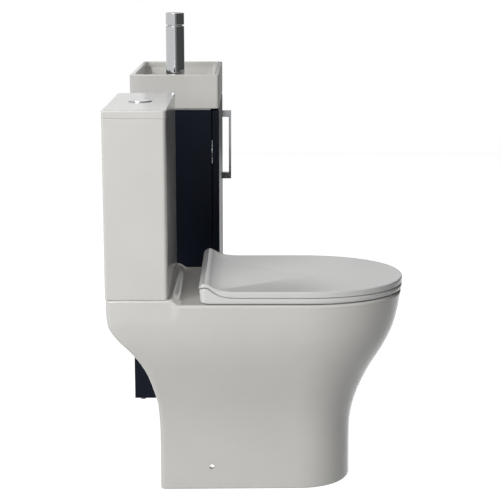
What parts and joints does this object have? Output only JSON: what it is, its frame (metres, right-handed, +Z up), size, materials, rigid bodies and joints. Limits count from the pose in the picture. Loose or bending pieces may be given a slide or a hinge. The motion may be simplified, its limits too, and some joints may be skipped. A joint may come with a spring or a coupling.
{
  "type": "combined vanity and toilet unit",
  "caption": "Close-coupled toilet with a soft-close seat beside a slim floor-standing vanity with basin, side-mounted mixer tap and a single door.",
  "frame": {"origin": "on the floor, at the middle of the set's plan box", "axes": "+Z up; the wall is at the +Y side and the front faces -Y; the toilet is on the -X side and the vanity on the +X side"},
  "size_m": [1.0806, 0.6, 0.944],
  "materials": {
    "china": "glossy warm white glaze",
    "basin_china": "glossy warm white glaze",
    "seat_plastic": "glossy white moulded",
    "chrome": "polished plate",
    "steel": "bright zinc plate",
    "white_plastic": "moulded",
    "grey_plastic": "moulded",
    "rubber": "black",
    "clear_bumper": "soft translucent",
    "navy_board": "satin navy lacquer on fibreboard"
  },
  "bodies": {
    "set": {"pan_skirt": "china", "pan_deck": "china", "pan_bowl": "china", "pan_waterways": "china", "cistern_tank": "china", "cistern_lid": "china", "button_bezel": "chrome", "bezel_nut": "white_plastic", "flush_valve_body": "white_plastic", "valve_nuts": "white_plastic", "coupling_washer": "rubber", "fill_valve_body": "white_plastic", "cistern_bolts": "steel", "bolt_washers": "rubber", "wing_nuts": "steel", "hinge_posts": "chrome", "hinge_pins": "steel", "hinge_bolts": "steel", "hinge_nuts": "white_plastic", "cabinet_side_left": "navy_board", "cabinet_side_right": "navy_board", "cabinet_base": "navy_board", "cabinet_plinth": "navy_board", "cabinet_back": "navy_board", "cabinet_rails": "navy_board", "cabinet_shelf": "navy_board", "shelf_pins": "steel", "glides": "grey_plastic", "hinge_arms": "steel", "basin": "basin_china", "basin_waste": "chrome", "basin_washers": "rubber", "waste_nut": "steel", "trap_body": "white_plastic", "trap_cup": "white_plastic", "trap_pipe": "white_plastic", "tap_body": "chrome", "tap_cartridge": "grey_plastic", "tap_aerator": "grey_plastic", "tap_stud": "steel", "tap_nut": "steel"},
    "seat": {"seat_ring": "seat_plastic", "seat_buffers": "clear_bumper"},
    "lid": {"seat_lid": "seat_plastic", "lid_buffers": "clear_bumper"},
    "full_button": {"full_flush_button": "chrome", "full_flush_rod": "white_plastic"},
    "half_button": {"half_flush_button": "chrome", "half_flush_rod": "white_plastic"},
    "flush_piston": {"flush_valve_piston": "white_plastic", "flush_valve_seal": "rubber"},
    "float": {"fill_valve_float": "grey_plastic"},
    "door": {"door": "navy_board", "door_handle": "chrome", "handle_screws": "steel", "hinge_cups": "steel", "door_bumpers": "clear_bumper"},
    "plug": {"waste_plug": "chrome"},
    "tap_stem": {"tap_stem": "chrome"},
    "tap_head": {"tap_head": "chrome"}
  },
  "joints": [
    {"name": "seat_hinge", "type": "hinge", "parent": "set", "child": "seat", "pos_m": [-0.36325, 0.104, 0.42], "axis": [1, 0, 0], "range_deg": [-95, 0]},
    {"name": "lid_hinge", "type": "hinge", "parent": "seat", "child": "lid", "pos_m": [-0.36325, 0.104, 0.42], "axis": [-1, 0, 0], "range_deg": [0, 97]},
    {"name": "full_flush_press", "type": "slide", "parent": "set", "child": "full_button", "axis": [0, 0, -1], "range_m": [0, 0.006], "stiffness_N_per_m": 300, "springref_m": -0.004},
    {"name": "half_flush_press", "type": "slide", "parent": "set", "child": "half_button", "axis": [0, 0, -1], "range_m": [0, 0.006], "stiffness_N_per_m": 300, "springref_m": -0.004},
    {"name": "flush_valve_lift", "type": "slide", "parent": "set", "child": "flush_piston", "axis": [0, 0, 1], "range_m": [0, 0.012]},
    {"name": "float_rise", "type": "slide", "parent": "set", "child": "float", "axis": [0, 0, 1], "range_m": [0, 0.022]},
    {"name": "door_hinge", "type": "hinge", "parent": "set", "child": "door", "pos_m": [0.11625, 0.106, 0.35925], "axis": [0, 0, -1], "range_deg": [0, 95]},
    {"name": "plug_rise", "type": "slide", "parent": "set", "child": "plug", "axis": [0, 0, 1], "range_m": [0, 0.008]},
    {"name": "tap_turn", "type": "hinge", "parent": "set", "child": "tap_stem", "pos_m": [0.17425, 0.1945, 0.913], "axis": [0, 0, 1], "range_deg": [-45, 45]},
    {"name": "tap_lift", "type": "hinge", "parent": "tap_stem", "child": "tap_head", "pos_m": [0.15725, 0.1945, 0.922], "axis": [0, -1, 0], "range_deg": [0, 18]}
  ],
  "couplings": [
    {"joint": "flush_valve_lift", "follows": "full_flush_press", "ratio": 2}
  ]
}
